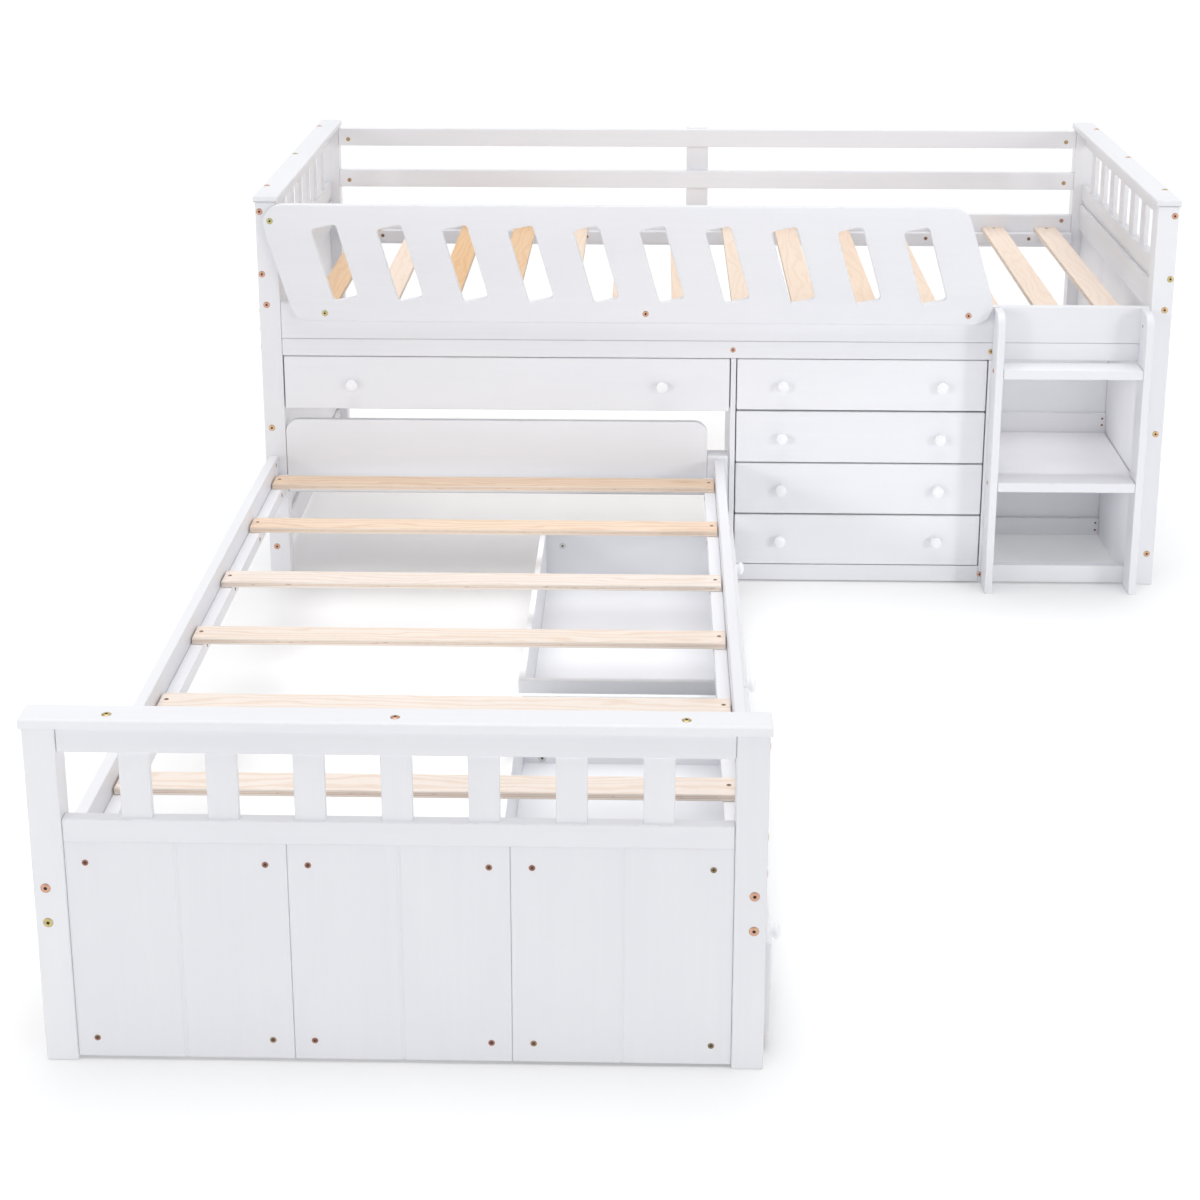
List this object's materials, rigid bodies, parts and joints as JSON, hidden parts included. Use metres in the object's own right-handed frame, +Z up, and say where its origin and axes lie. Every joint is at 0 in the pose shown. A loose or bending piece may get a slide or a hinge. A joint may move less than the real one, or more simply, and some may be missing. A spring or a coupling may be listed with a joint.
{
  "type": "l-shaped loft bed",
  "caption": "Low loft bed with slatted guard panel, drawer cabinet, shelf bay and ladder, joined at right angles to a lower bed with roll-out drawers.",
  "frame": {"origin": "middle of the bounding box's underside, on the floor", "axes": "+Z up; the loft runs along X with its front facing -Y; the lower bed runs along -Y at the -X end"},
  "size_m": [2.029, 3.05, 0.8923],
  "materials": {
    "white_paint": "satin white paint over solid wood, cool white",
    "white_board": "white-faced thin board, smooth",
    "raw_slat_wood": "bare pale softwood, visible grain"
  },
  "bodies": {
    "bed_frame": {"loft_post_front_left": "white_paint", "loft_post_front_right": "white_paint", "loft_post_rear_left": "white_paint", "loft_post_rear_right": "white_paint", "loft_cap_left": "white_paint", "loft_cap_right": "white_paint", "loft_end_grille_left": "white_paint", "loft_end_grille_right": "white_paint", "loft_end_panel_left": "white_paint", "loft_end_panel_right": "white_paint", "loft_front_rail": "white_paint", "loft_apron": "white_paint", "loft_rear_rail": "white_paint", "guard_rail_lower": "white_paint", "guard_rail_upper": "white_paint", "guard_rail_stile": "white_paint", "loft_slat_deck": "raw_slat_wood", "guard_panel": "white_paint", "cabinet_side_left": "white_paint", "cabinet_side_right": "white_paint", "cabinet_back": "white_board", "cabinet_plinth": "white_paint", "cabinet_top": "white_paint", "bay_side_panel": "white_paint", "bay_shelf": "white_paint", "bay_base_rail": "white_paint", "bay_back_panel": "white_board", "bay_back_rail_upper": "white_paint", "bay_back_rail_lower": "white_paint", "ladder_stringer_left": "white_paint", "ladder_stringer_right": "white_paint", "ladder_step_lower": "white_paint", "ladder_step_upper": "white_paint", "foot_post_left": "white_paint", "foot_post_right": "white_paint", "foot_cap": "white_paint", "foot_grille": "white_paint", "foot_panel": "white_paint", "bed_side_rail_left": "white_paint", "bed_side_rail_right": "white_paint", "bed_slat_deck": "raw_slat_wood", "head_panel": "white_paint", "head_leg": "white_paint", "long_drawer_hanger_left": "white_paint", "long_drawer_hanger_right": "white_paint"},
    "cabinet_drawer_1": {"cabinet_drawer_1_front": "white_paint", "cabinet_drawer_1_box": "white_board"},
    "cabinet_drawer_2": {"cabinet_drawer_2_front": "white_paint", "cabinet_drawer_2_box": "white_board"},
    "cabinet_drawer_3": {"cabinet_drawer_3_front": "white_paint", "cabinet_drawer_3_box": "white_board"},
    "cabinet_drawer_4": {"cabinet_drawer_4_front": "white_paint", "cabinet_drawer_4_box": "white_board"},
    "long_drawer": {"long_drawer_front": "white_paint", "long_drawer_box": "white_board"},
    "under_bed_drawer_far": {"under_bed_drawer_far_front": "white_paint", "under_bed_drawer_far_box": "white_board"},
    "under_bed_drawer_near": {"under_bed_drawer_near_front": "white_paint", "under_bed_drawer_near_box": "white_board"}
  },
  "joints": [
    {"name": "cabinet_drawer_1_slide", "type": "slide", "parent": "bed_frame", "child": "cabinet_drawer_1", "axis": [0, -1, 0], "range_m": [0, 0.28]},
    {"name": "cabinet_drawer_2_slide", "type": "slide", "parent": "bed_frame", "child": "cabinet_drawer_2", "axis": [0, -1, 0], "range_m": [0, 0.28]},
    {"name": "cabinet_drawer_3_slide", "type": "slide", "parent": "bed_frame", "child": "cabinet_drawer_3", "axis": [0, -1, 0], "range_m": [0, 0.28]},
    {"name": "cabinet_drawer_4_slide", "type": "slide", "parent": "bed_frame", "child": "cabinet_drawer_4", "axis": [0, -1, 0], "range_m": [0, 0.2]},
    {"name": "long_drawer_slide", "type": "slide", "parent": "bed_frame", "child": "long_drawer", "axis": [0, -1, 0], "range_m": [0, 0.28]},
    {"name": "under_bed_drawer_far_slide", "type": "slide", "parent": "bed_frame", "child": "under_bed_drawer_far", "axis": [-1, 0, 0], "range_m": [-0.36, 0]},
    {"name": "under_bed_drawer_near_slide", "type": "slide", "parent": "bed_frame", "child": "under_bed_drawer_near", "axis": [-1, 0, 0], "range_m": [-0.36, 0]}
  ]
}
